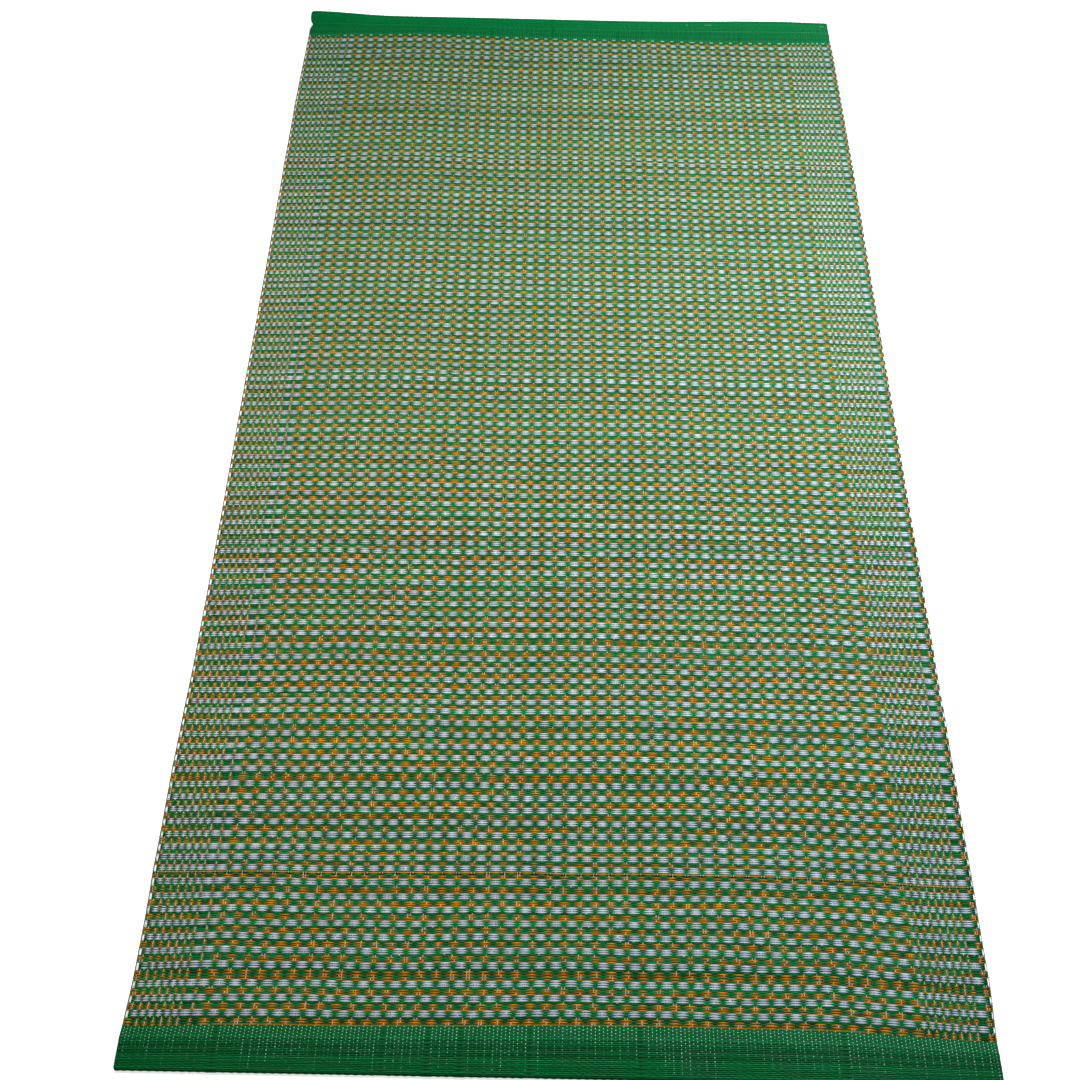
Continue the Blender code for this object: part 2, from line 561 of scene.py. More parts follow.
def linear(code: str) -> tuple[float, float, float, float]:
    """Turns an sRGB hex colour to the linear values that a shader takes.

    Args:
        code: Six hex digits.

    Returns:
        Red, green and blue in linear light, and full alpha.
    """
    parts = [int(code[start : start + 2], 16) / 255 for start in (0, 2, 4)]
    made = [part / 12.92 if part <= 0.04045 else ((part + 0.055) / 1.055) ** 2.4 for part in parts]
    return made[0], made[1], made[2], 1.0


def new_material(name: str, settings: dict) -> bpy.types.Material:
    """Makes a material.

    Args:
        name: Its name.
        settings: Its surface's own values by input name.

    Returns:
        The new material.
    """
    material = bpy.data.materials.new(name)
    material.use_nodes = True
    for socket, value in settings.items():
        material.node_tree.nodes["Principled BSDF"].inputs[socket].default_value = value
    return material


def add_node(tree: bpy.types.NodeTree, kind: str, settings: dict = {}, links: dict = {}) -> bpy.types.Node:
    """Adds a shader node with its settings and links.

    Args:
        tree: The node tree.
        kind: The node's type name.
        settings: Values by property name, or by input name or number for an input's own value.
        links: Output sockets by the input name or number that they feed.

    Returns:
        The new node.
    """
    node = tree.nodes.new(kind)
    for name, value in settings.items():
        if isinstance(name, str) and hasattr(node, name):
            setattr(node, name, value)
        else:
            node.inputs[name].default_value = value
    for name, source in links.items():
        tree.links.new(source, node.inputs[name])
    return node


@dataclass(frozen=True)
class StrawPlastic:
    """Extruded polypropylene straw, pressed flat: a half-gloss skin with faint draw lines along the straw."""

    name: str
    slot: str
    colour: str
    shade: str
    roughness: float = 0.38
    roughness_spread: float = 0.12
    spread: float = 0.35
    specular: float = 0.05
    ior: float = 1.49
    draw_line_mm: float = 0.35
    draw_length_mm: float = 30.0
    draw_depth: float = 0.00003
    draw_strength: float = 0.6

    def material(self) -> bpy.types.Material:
        """Builds the straw's material, or finds it where another piece has it already.

        Returns:
            A material that reads the attribute tone: each straw's own shade of dye, plus any painted shade.
        """
        if self.name in bpy.data.materials:
            return bpy.data.materials[self.name]
        material = new_material(self.name, {"IOR": self.ior, "Specular IOR Level": self.specular})
        tree = material.node_tree
        place = add_node(tree, "ShaderNodeTexCoord").outputs["Object"]
        scale = (1000 / self.draw_length_mm, 1000 / self.draw_line_mm, 1000 / self.draw_line_mm)
        drawn = add_node(tree, "ShaderNodeMapping", {"Scale": scale}, {"Vector": place}).outputs["Vector"]
        fine = {"Scale": 1.0, "Detail": 2.0}
        lines = add_node(tree, "ShaderNodeTexNoise", fine, {"Vector": drawn}).outputs["Fac"]
        tone = add_node(tree, "ShaderNodeAttribute", {"attribute_name": "tone"}).outputs["Fac"]
        around = {"operation": "MULTIPLY_ADD", 1: self.spread, 2: -self.spread / 2}
        spread = add_node(tree, "ShaderNodeMath", around, {0: lines}).outputs["Value"]
        added = {"operation": "ADD", "use_clamp": True}
        mixed = add_node(tree, "ShaderNodeMath", added, {0: tone, 1: spread})
        dyes = {"data_type": "RGBA", 6: linear(self.colour), 7: linear(self.shade)}
        colour = add_node(tree, "ShaderNodeMix", dyes, {0: mixed.outputs["Value"]})
        lowest = self.roughness - self.roughness_spread / 2
        around = {"operation": "MULTIPLY_ADD", 1: self.roughness_spread, 2: lowest}
        rough = add_node(tree, "ShaderNodeMath", around, {0: lines})
        depth = {"Strength": self.draw_strength, "Distance": self.draw_depth}
        relief = add_node(tree, "ShaderNodeBump", depth, {"Height": lines})
        surface = tree.nodes["Principled BSDF"]
        tree.links.new(colour.outputs[2], surface.inputs["Base Color"])
        tree.links.new(rough.outputs["Value"], surface.inputs["Roughness"])
        tree.links.new(relief.outputs["Normal"], surface.inputs["Normal"])
        return material


# Dyed through in the melt, so that the colour is clear and even; each straw's tone differs a little
# at random, and the shade colour is also painted shade at the tips and on low straws between blocks
GREEN_STRAW = StrawPlastic("green_polypropylene_straw", "straw_green", colour="00984C", shade="023A15")
WHITE_STRAW = StrawPlastic("white_polypropylene_straw", "straw_white", colour="D7E0EF", shade="969DAA")
ORANGE_STRAW = StrawPlastic("orange_polypropylene_straw", "straw_orange", colour="E8980C", shade="865406")
# The ties at the edges are a wider white tape of the same plastic; their brighter colour is painted light
# for a tape that faces up
WHITE_TIE_PAINTED_LIGHT = StrawPlastic("white_polypropylene_ties_painted_light", "straw_white", colour="FAFAFF", shade="E4E4F0")
# Bare polypropylene thread with little dye, which passes light: pale by itself, and green in a green end;
# its dark green, darker than the straws, is painted shade where a crossing lies low between them
HEM_WARP_PAINTED_SHADE = StrawPlastic("hem_polypropylene_warp_painted_shade", "warp_thread", "CCF8EC", shade="0A5030", roughness=0.3)
# The same thread sunk between the straws: its own pale colour where light reaches it, and black as painted
# shade where it does not; the black strip also stands alone as painted shadow in the gaps between threads
WARP_TICK_PAINTED_SHADE = StrawPlastic(
    "polypropylene_warp_ticks_painted_shade", "warp_thread", colour="E6DED6", shade="141210", roughness=0.4, spread=0.05
)
# The straws that pass underneath lie in the shade of the others, so their sheet is near black, painted shade
PAINTED_SHADE_BELOW_STRAWS = StrawPlastic("shaded_polypropylene_straw", "straw", "022C10", shade="01180A", roughness=0.5)
# Spun polyester sewing thread, darker than the straws that it holds
SEWING_THREAD = StrawPlastic(
    "polyester_sewing_thread", "straw", colour="0A4A2C", shade="E0E6E2", roughness=0.6, spread=0.04
)


@dataclass(frozen=True)
class FloorPaint:
    """Matt white floor paint, lit a little from within like a photographer's light table."""

    name: str = "matt_floor_paint"
    colour: str = "FCFCFC"
    roughness: float = 0.9
    specular: float = 0.1
    glow: float = 0.70

    def material(self) -> bpy.types.Material:
        """Builds the paint's material.

        Returns:
            A plain material, which gives the eye a near white ground with soft shadows.
        """
        settings = {
            "Base Color": linear(self.colour),
            "Roughness": self.roughness,
            "Specular IOR Level": self.specular,
            "Emission Color": linear("FFFFFF"),
            "Emission Strength": self.glow,
        }
        return new_material(self.name, settings)


@dataclass
class Stamp:
    """A small shape that is repeated in one mesh, and how much painted shade darkens each of its points."""

    points: np.ndarray
    faces: list[tuple[int, ...]]
    painted_shade: np.ndarray

    @staticmethod
    def of(shape: bmesh.types.BMesh) -> "Stamp":
        """Reads a finished bmesh, and frees it.

        Args:
            shape: The bmesh.

        Returns:
            A stamp of one even colour.
        """
        shape.verts.index_update()
        points = np.array([point.co[:] for point in shape.verts])
        faces = [tuple(point.index for point in face.verts) for face in shape.faces]
        shape.free()
        return Stamp(points, faces, np.zeros(len(points)))

    @staticmethod
    def straw(shoulder: float = 0.24, painted_shade: float = 0.5, shoulder_shade: float = 0.24) -> "Stamp":
        """The straw between two crossings: a low roof to a point where it dips under, with painted shade
        there.

        Args:
            shoulder: How far from its middle the straw starts to taper, as a share of its half length.
            painted_shade: How much painted shade darkens its colour at its points.
            shoulder_shade: The share of that at its shoulders.

        Returns:
            A stamp whose x runs along the straw from -1 to 1, its y across it, and its z from 0 to 1.
        """
        shape = bmesh.new()
        bmesh.ops.create_grid(shape, x_segments=3, y_segments=2, size=1.0)
        for point in shape.verts:
            if abs(point.co.x) < 0.9:
                point.co = (math.copysign(shoulder, point.co.x), point.co.y, 1.0 - abs(point.co.y))
        for end in (-1.0, 1.0):
            tip = [point for point in shape.verts if abs(point.co.x - end) < 0.1]
            bmesh.ops.pointmerge(shape, verts=tip, merge_co=(end, 0.0, 0.0))
        straw = Stamp.of(shape)
        straw.painted_shade = painted_shade * np.where(np.abs(straw.points[:, 0]) < 1.0, shoulder_shade, 1.0)
        return straw

    @staticmethod
    def strip(along: int, across: int) -> "Stamp":
        """A flat strip from -1 to 1 both ways.

        Args:
            along: Its steps along x.
            across: Its steps along y.

        Returns:
            The stamp.
        """
        shape = bmesh.new()
        bmesh.ops.create_grid(shape, x_segments=along, y_segments=across, size=1.0)
        return Stamp.of(shape)

    @staticmethod
    def bead() -> "Stamp":
        """A low bump with six sides, of radius and height 1, where a thread rises over a straw.

        Returns:
            The stamp.
        """
        shape = bmesh.new()
        bmesh.ops.create_circle(shape, cap_ends=True, segments=6, radius=1.0)
        bmesh.ops.poke(shape, faces=shape.faces[:])
        for point in shape.verts:
            point.co.z = 1.0 - point.co.xy.length
        return Stamp.of(shape)

    def at(self, middle: np.ndarray, half: np.ndarray, tone: np.ndarray) -> "Copies":
        """Copies placed by where their own zero goes, sized by what their own 1 measures, and shaded."""
        return Copies(self, middle[:, None] + half[:, None] * self.points[None], tone)

    def joined(self, name: str, placed: np.ndarray, tone: np.ndarray, uv: np.ndarray) -> bpy.types.Object:
        """Joins all the copies in one mesh.

        Args:
            name: The piece's name.
            placed: The points of every copy, as an array of copies, points and coordinates.
            tone: The shade of each point.
            uv: The place of each point on the flat cloth, as shares of its width and length.

        Returns:
            The new piece, linked to the scene.
        """
        count, size = placed.shape[0], len(self.points)
        sides = [len(face) for face in self.faces]
        corners = np.concatenate([np.array(face) for face in self.faces])
        corners = (corners[None] + np.arange(count)[:, None] * size).ravel()
        starts = np.concatenate([[0], np.cumsum(np.tile(sides, count))[:-1]])
        mesh = bpy.data.meshes.new(name)
        mesh.vertices.add(count * size)
        mesh.loops.add(len(corners))
        mesh.polygons.add(len(starts))
        mesh.vertices.foreach_set("co", placed.reshape(-1).astype(np.float32))
        mesh.loops.foreach_set("vertex_index", corners.astype(np.int32))
        mesh.polygons.foreach_set("loop_start", starts.astype(np.int32))
        mesh.update(calc_edges=True)
        mesh.validate()
        shades = mesh.attributes.new("tone", "FLOAT", "POINT")
        shades.data.foreach_set("value", tone.reshape(-1).astype(np.float32))
        layer = mesh.uv_layers.new(name="OFBake")
        layer.uv.foreach_set("vector", uv.reshape(-1, 2)[corners].astype(np.float32).ravel())
        mesh.shade_smooth()
        piece = bpy.data.objects.new(name, mesh)
        bpy.context.scene.collection.objects.link(piece)
        return piece


@dataclass
class Copies:
    """Where the copies of a stamp go, in loom coordinates, and how deep their colour is."""

    stamp: Stamp
    points: np.ndarray
    tone: np.ndarray

    def with_more(self, more: "Copies") -> "Copies":
        """These copies and some more of the same stamp."""
        points, tone = np.concatenate([self.points, more.points]), np.concatenate([self.tone, more.tone])
        return Copies(self.stamp, points, tone)


@dataclass
class Weave:
    """What every layer of the mat shares: the lie, the loom, and how copies are laid down on them."""

    lie: MatLie
    loom: Loom
    body: str
    pieces: list[bpy.types.Object] = field(default_factory=list)

    def lay(self, name: str, copies: Copies, finish: StrawPlastic) -> bpy.types.Object:
        """Lays copies of a stamp down on the mat and dresses them.

        Args:
            name: The piece's name.
            copies: The stamp and where its copies go.
            finish: What the piece is made of.

        Returns:
            The piece, riding on the mat's body.
        """
        points = copies.points / (self.loom.span, 1.0, 1.0)
        uv = points[..., :2] / (1.0, self.lie.whole)
        # Each copy's own tone, and the painted shade of its stamp, such as the darkened tips of a straw
        tones = np.clip(copies.tone[:, None] + copies.stamp.painted_shade, 0.0, 1.0)
        piece = copies.stamp.joined(name, self.lie.lay(points), tones, uv)
        piece.data.materials.append(finish.material())
        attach(piece, self.body)
        self.pieces.append(piece)
        LOG.info("%s: %d copies, %d faces", name, len(points), len(piece.data.polygons))
        return piece


@dataclass
class Layer:
    """A layer of the mat, with its own source of the small differences between its straws or threads."""

    weave: Weave
    seed: int = 0
    draw: np.random.Generator = field(init=False)

    def __post_init__(self) -> None:
        """Starts the source from the layer's own seed."""
        self.draw = np.random.default_rng(self.seed)

    def uneven(self, spread: float, *shape: int) -> np.ndarray:
        """Factors around 1 with this spread."""
        return 1.0 + self.draw.normal(0.0, spread, shape)


@dataclass
class Straws(Layer):
    """The straws on the face of the patterned field."""

    white_cut: Cut = Cut(
        0.00118, 0.00101, tip=0.0028, narrow_half_width=0.00084, narrow_tip=0.0021, first_shorter=0.0007
    )
    orange_cut: Cut = Cut(
        0.00114, 0.00090, 0.0030, 0.00082, 0.0013, shoulder=0.12, first_shorter=0.0007, last_longer=0.0003
    )
    stray_cut: Cut = orange_cut._replace(first_shorter=0.0, last_longer=0.0021)
    green_over_white: Cut = Cut(0.00140, 0.00096, tip=0.0029, narrow_half_width=0.00078, narrow_tip=0.0013)
    green_over_orange: Cut = Cut(0.00140, 0.00086, tip=0.0033, narrow_half_width=0.00086, narrow_tip=0.0030)
    # How far the straws reach at the selvedges, and how much less where a thread is missing
    edge_tip: float = 0.0006
    drawn_in: float = 0.0006
    low: float = 0.00020
    place_spread: float = 0.00006
    reach_spread: float = 0.00025
    across_spread: float = 0.00015
    width_spread: float = 0.06
    height_spread: float = 0.05
    deepest_row: float = 0.5
    tone_spread: float = 0.08
    # The green straw that shows between the blocks, by its place among those of its white row
    uncovered: int = 2
    # Its half width at the far end of the field and at the near one
    bridge_half_width: Pair = (0.00005, 0.00042)
    bridge_widening: int = 3
    bridge_high: float = 0.00068
    bridge_steps: int = 44
    # How far across the straws between blocks reach, and the painted shade that darkens them as they lie low
    green_reach: Pair = (0.0, 1.0)
    green_painted_shade: Pair = (0.95, 1.0)
    orange_reach: Pair = (0.10, 0.86)
    orange_painted_shade: Pair = (0.2, 0.6)
    seed: int = 5

    def build(self) -> None:
        """Builds the white, the orange and the two layers of green straws."""
        lay, loom = self.weave.lay, self.weave.loom
        lay("white_straws", self.blocks(Straw.WHITE, Face.WHITE, self.white_cut), WHITE_STRAW)
        copies = self.blocks(Straw.ORANGE, Face.ORANGE, self.orange_cut)
        copies = copies.with_more(self.blocks(Straw.STRAY, Face.WHITE, self.stray_cut))
        lay("orange_straws", copies, ORANGE_STRAW)
        copies = self.blocks(Straw.GREEN_BY_WHITES, Face.ORANGE, self.green_over_white)
        lay("green_straws_in_white_rows", copies, GREEN_STRAW)
        copies = self.blocks(Straw.GREEN_BY_ORANGES, Face.WHITE, self.green_over_orange)
        lay("green_straws_in_orange_rows", copies, GREEN_STRAW)
        greens = loom.lines(Straw.GREEN_BY_WHITES)
        lines = [line.along for line in greens if line.place == self.uncovered]
        copies = self.bridges(lines, self.green_reach, self.green_painted_shade)
        lay("green_straws_between_blocks", copies, GREEN_STRAW)
        copies = self.bridges(loom.places(Straw.ORANGE)[-1:], self.orange_reach, self.orange_painted_shade)
        lay("orange_straw_at_hem", copies, ORANGE_STRAW)

    def blocks(self, kind: Straw, face: Face, cut: Cut) -> Copies:
        """Places one kind of straw in its columns.

        Args:
            kind: The kind of straw.
            face: The columns where it is on the face.
            cut: Its size and reach.

        Returns:
            A copy for each straw in each column.
        """
        loom, draw = self.weave.loom, self.draw
        columns = [column for column in loom.columns if column.face is face]
        narrow = np.array([column.narrow for column in columns])
        drawn = np.array([column.thinned for column in columns]) * self.drawn_in
        tip = np.where(narrow, cut.narrow_tip, cut.tip) - drawn
        first, final = (np.array([column is loom.columns[end] for column in columns]) for end in (0, -1))
        left = np.array([column.start for column in columns]) - np.where(first, self.edge_tip, tip)
        right = np.array([column.end for column in columns]) + np.where(final, self.edge_tip, tip)
        inner = ~(first | final)
        lines = loom.lines(kind)
        shape = (len(lines), len(columns))
        at = np.array([line.along for line in lines])[:, None] + draw.normal(0.0, self.place_spread, shape)
        longer = [line.last * cut.last_longer - (line.place == 0) * cut.first_shorter for line in lines]
        longer = np.array(longer)[:, None] * inner
        reach = (right - left) / 2 + draw.normal(0.0, self.reach_spread, shape) * inner + longer
        across = (left + right) / 2 + draw.normal(0.0, self.across_spread, shape) * inner
        width = np.where(narrow, cut.narrow_half_width, cut.half_width)
        width = width * self.uneven(self.width_spread, *shape)
        rise = (cut.high - self.low) * self.uneven(self.height_spread, *shape)
        tone = draw.uniform(0.0, self.deepest_row, (len(lines), 1))
        tone = tone + draw.normal(0.0, self.tone_spread, shape)
        middles, halves = triples(across, at, self.low), triples(reach, width, rise)
        return Stamp.straw(cut.shoulder).at(middles, halves, np.clip(tone, 0.0, 1.0).ravel())

    def bridges(self, lines: list[float], reach: Pair, deep: Pair) -> Copies:
        """Places the straws that show on as thin lines between their blocks, where nothing covers them.

        Args:
            lines: Their distances along the cloth.
            reach: Where they start and end, as shares of the pattern's width.
            deep: How deep their colour is, at the least and at the most; painted shade, as they lie low.

        Returns:
            A copy for each straw.
        """
        loom, count = self.weave.loom, len(lines)
        left, right = loom.columns[0].start, loom.columns[-1].end
        left, right = (left + (right - left) * share for share in reach)
        bridge = Stamp.strip(self.bridge_steps, 2)
        bridge.points[:, 2] = 1.0 - np.abs(bridge.points[:, 1])
        near_share = 1.0 - np.interp(lines, [loom.near_end, loom.far_end], [0.0, 1.0])
        far_width, near_width = self.bridge_half_width
        width = far_width + (near_width - far_width) * near_share**self.bridge_widening
        halves = triples((right - left) / 2, width, self.bridge_high - self.low)
        halves *= 1.0 + self.draw.normal(0.0, self.height_spread, (count, 1)) * (0.0, 1.0, 1.0)
        middles = triples((left + right) / 2, lines, self.low)
        return bridge.at(middles, halves, self.draw.uniform(*deep, count))


@dataclass
class Warps(Layer):
    """The warp threads, short ticks between the straws that they hold down, mostly black as painted shade."""

    # Half the size of a tick, a flat strip; the minus turns it over, so that its face points down
    half: Triple = (-0.00043, 0.00064, 0.0)
    height: float = 0.00072
    # The share of the threads that show as ticks, and of the gaps beside them given a painted shadow
    shown: dict[Face, float] = field(default_factory=lambda: {Face.WHITE: 0.76, Face.ORANGE: 0.6})
    shown_in_narrow: float = 0.75
    shown_gap_shadows: float = 0.5
    # The share of the ticks that catch the light, and the shades of those that do and don't;
    # the black of those that don't is painted shade
    pale_share: dict[Face, float] = field(default_factory=lambda: {Face.WHITE: 0.06, Face.ORANGE: 0.65})
    pale_in_narrow: float = 0.8
    pale: Pair = (0.0, 0.4)
    dark: Pair = (0.97, 1.0)
    across_spread: float = 0.00012
    size_spread: float = 0.12
    # Where a thread passes over the stray straw
    bead_half: Triple = (0.00045, 0.0013, 0.00115)
    bead_spread: float = 0.08
    bead_tone: Pair = (0.0, 0.2)
    seed: int = 23

    def build(self) -> None:
        """Builds the ticks between the orange and between the white straws, and those over a stray straw."""
        self.ticks("warp_ticks_and_painted_shadows_between_oranges", Straw.GREEN_BY_ORANGES, Face.ORANGE)
        self.ticks("warp_threads_between_whites", Straw.GREEN_BY_WHITES, Face.WHITE)
        self.over_strays()

    def over(self, face: Face) -> tuple[np.ndarray, np.ndarray]:
        """Finds the threads of one kind of column.

        Args:
            face: The kind of column.

        Returns:
            Where they run across the loom, and which of them are in narrow columns.
        """
        loom = self.weave.loom
        threads = [thread for thread in loom.threads if loom.columns[thread.column].face is face]
        threads = [thread for thread in threads if not thread.missing]
        narrow = [loom.columns[thread.column].narrow for thread in threads]
        return np.array([thread.in_field for thread in threads]), np.array(narrow)

    def ticks(self, name: str, kind: Straw, face: Face) -> None:
        """Builds the ticks of thread that show between the straws of one kind, and painted shadows in gaps
        there.

        Args:
            name: The piece's name.
            kind: The straws that pass underneath where the threads show.
            face: The columns where they do.
        """
        loom, draw = self.weave.loom, self.draw
        across, narrow = self.over(face)
        # A black strip in the middle of each wide orange column is painted shadow in the gap between its
        # threads
        gaps = [column.middle for column in loom.columns if column.face is face and not column.narrow]
        gaps = gaps if face is Face.ORANGE else []
        shown = np.where(narrow, self.shown_in_narrow, self.shown[face])
        shown = np.append(shown, [self.shown_gap_shadows] * len(gaps))
        pale = np.where(narrow, self.pale_in_narrow, self.pale_share[face])
        pale = np.append(pale, [0.0] * len(gaps))
        across, along = np.meshgrid(np.append(across, gaps), loom.places(kind))
        kept = draw.random(across.shape) < shown
        count = int(kept.sum())
        across = across[kept] + draw.normal(0.0, self.across_spread, count)
        halves = np.array(self.half) * self.uneven(self.size_spread, count, 3)
        pale = draw.random(count) < np.broadcast_to(pale, kept.shape)[kept]
        tone = np.where(pale, draw.uniform(*self.pale, count), draw.uniform(*self.dark, count))
        copies = Stamp.strip(1, 1).at(triples(across, along[kept], self.height), halves, tone)
        self.weave.lay(name, copies, WARP_TICK_PAINTED_SHADE)

    def over_strays(self) -> None:
        """Builds the threads that hold down a straw which strayed to the wrong side of its blocks."""
        across = self.over(Face.ORANGE)[0]
        for along in self.weave.loom.places(Straw.STRAY):
            halves = np.array(self.bead_half) * self.uneven(self.bead_spread, len(across), 3)
            tone = self.draw.uniform(*self.bead_tone, len(across))
            copies = Stamp.bead().at(triples(across, along, 0.0), halves, tone)
            self.weave.lay("warp_threads_over_stray", copies, WARP_TICK_PAINTED_SHADE)


@dataclass
class Hems(Layer):
    """The plain green ends: whole straws over and under every other thread, turned under and stitched."""

    straw_pitch: float = 0.00185
    place_spread: float = 0.00007
    low: float = 0.00030
    over: float = 0.00116
    under: float = 0.00056
    hidden: float = -0.0002
    height_spread: float = 0.03
    over_half_width: float = 0.00086
    under_half_width: float = 0.00046
    width_spread: float = 0.04
    edge: float = 0.0009
    lap: float = 0.0009
    tone: dict[End, Pair] = field(default_factory=lambda: {End.NEAR: (0.35, 0.85), End.FAR: (0.1, 0.5)})
    # The bump of a warp thread over a straw, from the faintest to the palest
    bead_half: Triple = (0.00044, 0.00060, 0.000828)
    bead_spread: float = 0.08
    faint_bead: float = 0.8
    pale_bead: float = 1.2
    pale: dict[End, float] = field(default_factory=lambda: {End.NEAR: 1.0, End.FAR: 0.3})
    # How pale a crossing starts beside the field, over what length it fades, and how patches, threads and
    # crossings differ more and more on the way
    pale_start: float = 1.3
    fade: float = 0.028
    patch: int = 14
    by_patch: float = 0.5
    by_thread: float = 0.3
    every_other: float = 0.35
    by_crossing: float = 0.4
    middling: float = 0.75
    growth: float = 2.0
    most: float = 1.8
    # Where threads are missing from the near end, across the loom
    ladders: tuple[float, ...] = (0.0987, 0.2725, 0.3530)
    stitch_pitch: float = 0.0045
    stitch_half: Triple = (0.0017, 0.00022, 0.00032)
    stitch_place_spread: float = 0.00012
    stitch_spread: float = 0.06
    stitch_tone: float = 0.03
    stitch_base: float = 0.00095
    # The few pale stitches of the far hem, by number from the left, which lie off the line of the others
    pale_stitches: tuple[int, ...] = (146, 153, 154, 155, 198, 199)
    pale_from_end: float = 0.014
    seed: int = 31

    def build(self) -> None:
        """Builds the straws of both ends, the warp threads that cross over them, and the stitching."""
        for end in End:
            plain = self.woven(end)
            self.straws(plain)
            self.crossings(plain)
            self.stitches(end)

    def woven(self, end: End) -> Plain:
        """Sets out the straws of one end.

        Args:
            end: Which end of the mat it is.

        Returns:
            Its straws and threads.
        """
        lie, loom = self.weave.lie, self.weave.loom
        near, far = (0.0, loom.near_end + self.lap), (loom.far_end - self.lap, lie.whole)
        start, stop = near if end is End.NEAR else far
        count = round((stop - start) / self.straw_pitch)
        lines = start + (stop - start) * (np.arange(count) + 0.5) / count
        lines += self.draw.normal(0.0, self.place_spread, count)
        sinks = (np.arange(count)[:, None] + np.arange(len(loom.threads))[None]) % 2 == 1
        missing = np.array([thread.missing for thread in loom.threads])
        if end is End.NEAR:
            missing[[np.argmin(np.abs(loom.hem_threads - place)) for place in self.ladders]] = True
        return Plain(end, lines, sinks, missing)

    def straws(self, plain: Plain) -> None:
        """Builds the straws, each one strip from selvedge to selvedge.

        Args:
            plain: The end that they are in.
        """
        loom = self.weave.loom
        sinks = np.where(plain.missing, ~plain.sinks, plain.sinks)
        stops = np.array([self.edge, *loom.hem_threads, loom.span - self.edge])
        stamp = Stamp.strip(len(stops) - 1, 2)
        step = np.rint((stamp.points[:, 0] + 1.0) / 2 * (len(stops) - 1)).astype(int)
        side = stamp.points[:, 1]
        down = np.concatenate([~sinks[:, :1], sinks, ~sinks[:, -1:]], 1)[:, step]
        deep = np.where(np.array([False, *plain.missing, False])[step], self.hidden, self.under)
        tall = np.where(down, deep, self.over) * self.uneven(self.height_spread, *down.shape)
        wide = np.where(down, self.under_half_width, self.over_half_width)
        along = plain.lines[:, None] + wide * self.uneven(self.width_spread, *down.shape) * side
        height = self.low + (tall - self.low) * (1.0 - np.abs(side))
        points = np.stack(np.broadcast_arrays(stops[step], along, height), -1)
        tone = self.draw.uniform(*self.tone[plain.end], len(plain.lines))
        self.weave.lay(f"{plain.end.value}_hem_straws", Copies(stamp, points, tone), GREEN_STRAW)

    def crossings(self, plain: Plain) -> None:
        """Builds the short stretches of warp thread that pass over the straws on the upper side of the hem.

        Args:
            plain: The end that they are in.
        """
        lie, loom, draw = self.weave.lie, self.weave.loom, self.draw
        across, lines = loom.hem_threads[~plain.missing], plain.lines
        fold = lie.hem_depth + lie.thickness
        field_end = loom.near_end if plain.end is End.NEAR else loom.far_end
        shown = (lines > fold) & (lines < lie.whole - fold)
        line, warp = np.nonzero(plain.sinks[:, ~plain.missing] & shown[:, None])
        away = np.abs(lines[line] - field_end) / self.fade
        threads = np.arange(len(across))
        patches = draw.uniform(0.0, 1.0, len(across) // self.patch + 1)[threads // self.patch]
        strong = patches * self.by_patch + draw.uniform(0.0, self.by_thread, len(across))
        strong = (strong + (threads % 2) * self.every_other)[warp]
        strong = strong + draw.uniform(0.0, self.by_crossing, len(line))
        differs = (strong - self.middling) * np.minimum(away * self.growth, self.most)
        pale = np.clip(self.pale_start - away + differs, 0.0, 1.0) * self.pale[plain.end]
        size = self.faint_bead + (self.pale_bead - self.faint_bead) * pale
        halves = np.array(self.bead_half) * (size[:, None] * self.uneven(self.bead_spread, len(line), 3))
        # A crossing that is not pale takes the thread's dark green, painted shade where it lies low between
        # straws
        copies = Stamp.bead().at(triples(across[warp], lines[line], self.low), halves, 1.0 - pale)
        self.weave.lay(f"{plain.end.value}_hem_warp_crossings", copies, HEM_WARP_PAINTED_SHADE)

    def stitches(self, end: End) -> None:
        """Builds the line of stitches that holds the turned end.

        Args:
            end: Which end of the mat it is.
        """
        lie, loom = self.weave.lie, self.weave.loom
        from_middle = lie.length / 2 - lie.hem_depth + lie.stitch_from_raw_end
        along = lie.top_at(from_middle if end is End.FAR else -from_middle)
        count = int((loom.span - 2 * self.edge) / self.stitch_pitch)
        across = self.edge + self.stitch_pitch * (np.arange(count) + 0.5)
        pale = np.isin(np.arange(count), self.pale_stitches) & (end is End.FAR)
        places = np.where(pale, lie.top_at(lie.length / 2 - self.pale_from_end), along)
        places = places + self.draw.normal(0.0, self.stitch_place_spread, count)
        halves = np.array(self.stitch_half) * self.uneven(self.stitch_spread, count, 3)
        tone = np.where(pale, 1.0, self.draw.uniform(0.0, self.stitch_tone, count))
        copies = Stamp.straw(painted_shade=0.0).at(triples(across, places, self.stitch_base), halves, tone)
        self.weave.lay(f"{end.value}_hem_stitches", copies, SEWING_THREAD)


